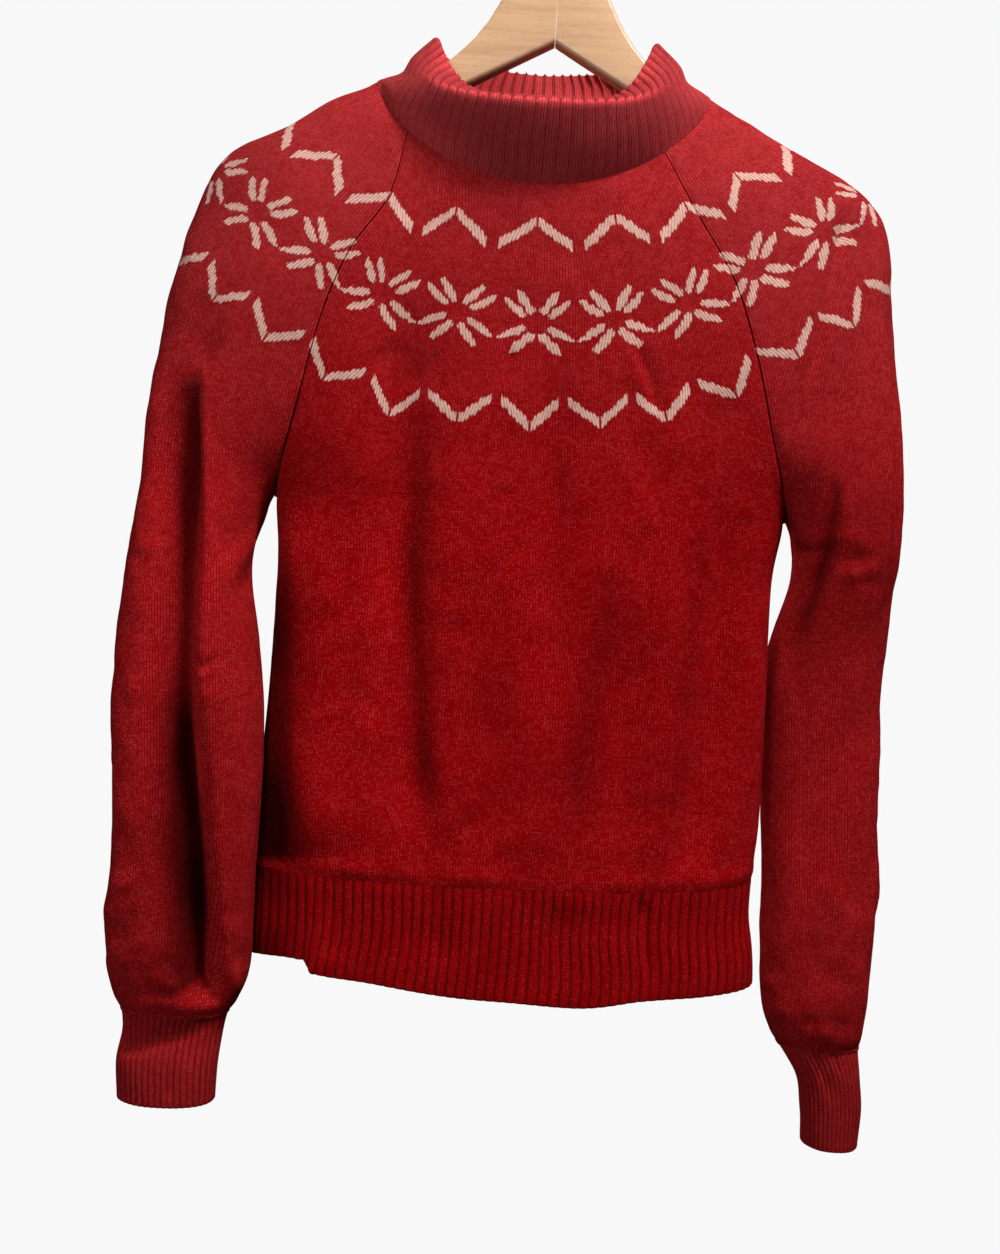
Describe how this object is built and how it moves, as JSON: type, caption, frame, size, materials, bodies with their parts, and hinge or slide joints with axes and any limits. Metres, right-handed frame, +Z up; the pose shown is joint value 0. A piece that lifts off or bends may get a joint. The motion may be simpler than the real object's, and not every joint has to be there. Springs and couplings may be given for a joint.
{
  "type": "christmas sweater on hanger",
  "caption": "Knitted raglan sweater with a ribbed funnel collar, star and zigzag yoke bands, ribbed hem and cuffs, hanging on a wooden clothes hanger.",
  "frame": {"origin": "inner top of the hanger's hook, where a rail carries it", "axes": "+X to the viewer's right across the shoulders, +Y to the garment's back, +Z up"},
  "size_m": [0.5035, 0.124, 0.8249],
  "materials": {
    "wool_knit": "plain knit, soft and slightly fuzzy",
    "wool_rib": "ribbed knit, soft and slightly fuzzy",
    "beech": "smooth, thin satin varnish",
    "hook_steel": "bright plated wire"
  },
  "bodies": {
    "root": {"front": "wool_knit", "back": "wool_knit", "sleeve_left": "wool_knit", "sleeve_right": "wool_knit", "collar": "wool_rib", "hem_rib": "wool_rib", "cuff_left": "wool_rib", "cuff_right": "wool_rib", "hanger_arm_left": "beech", "hanger_arm_right": "beech", "hanger_hook": "hook_steel"}
  },
  "joints": []
}
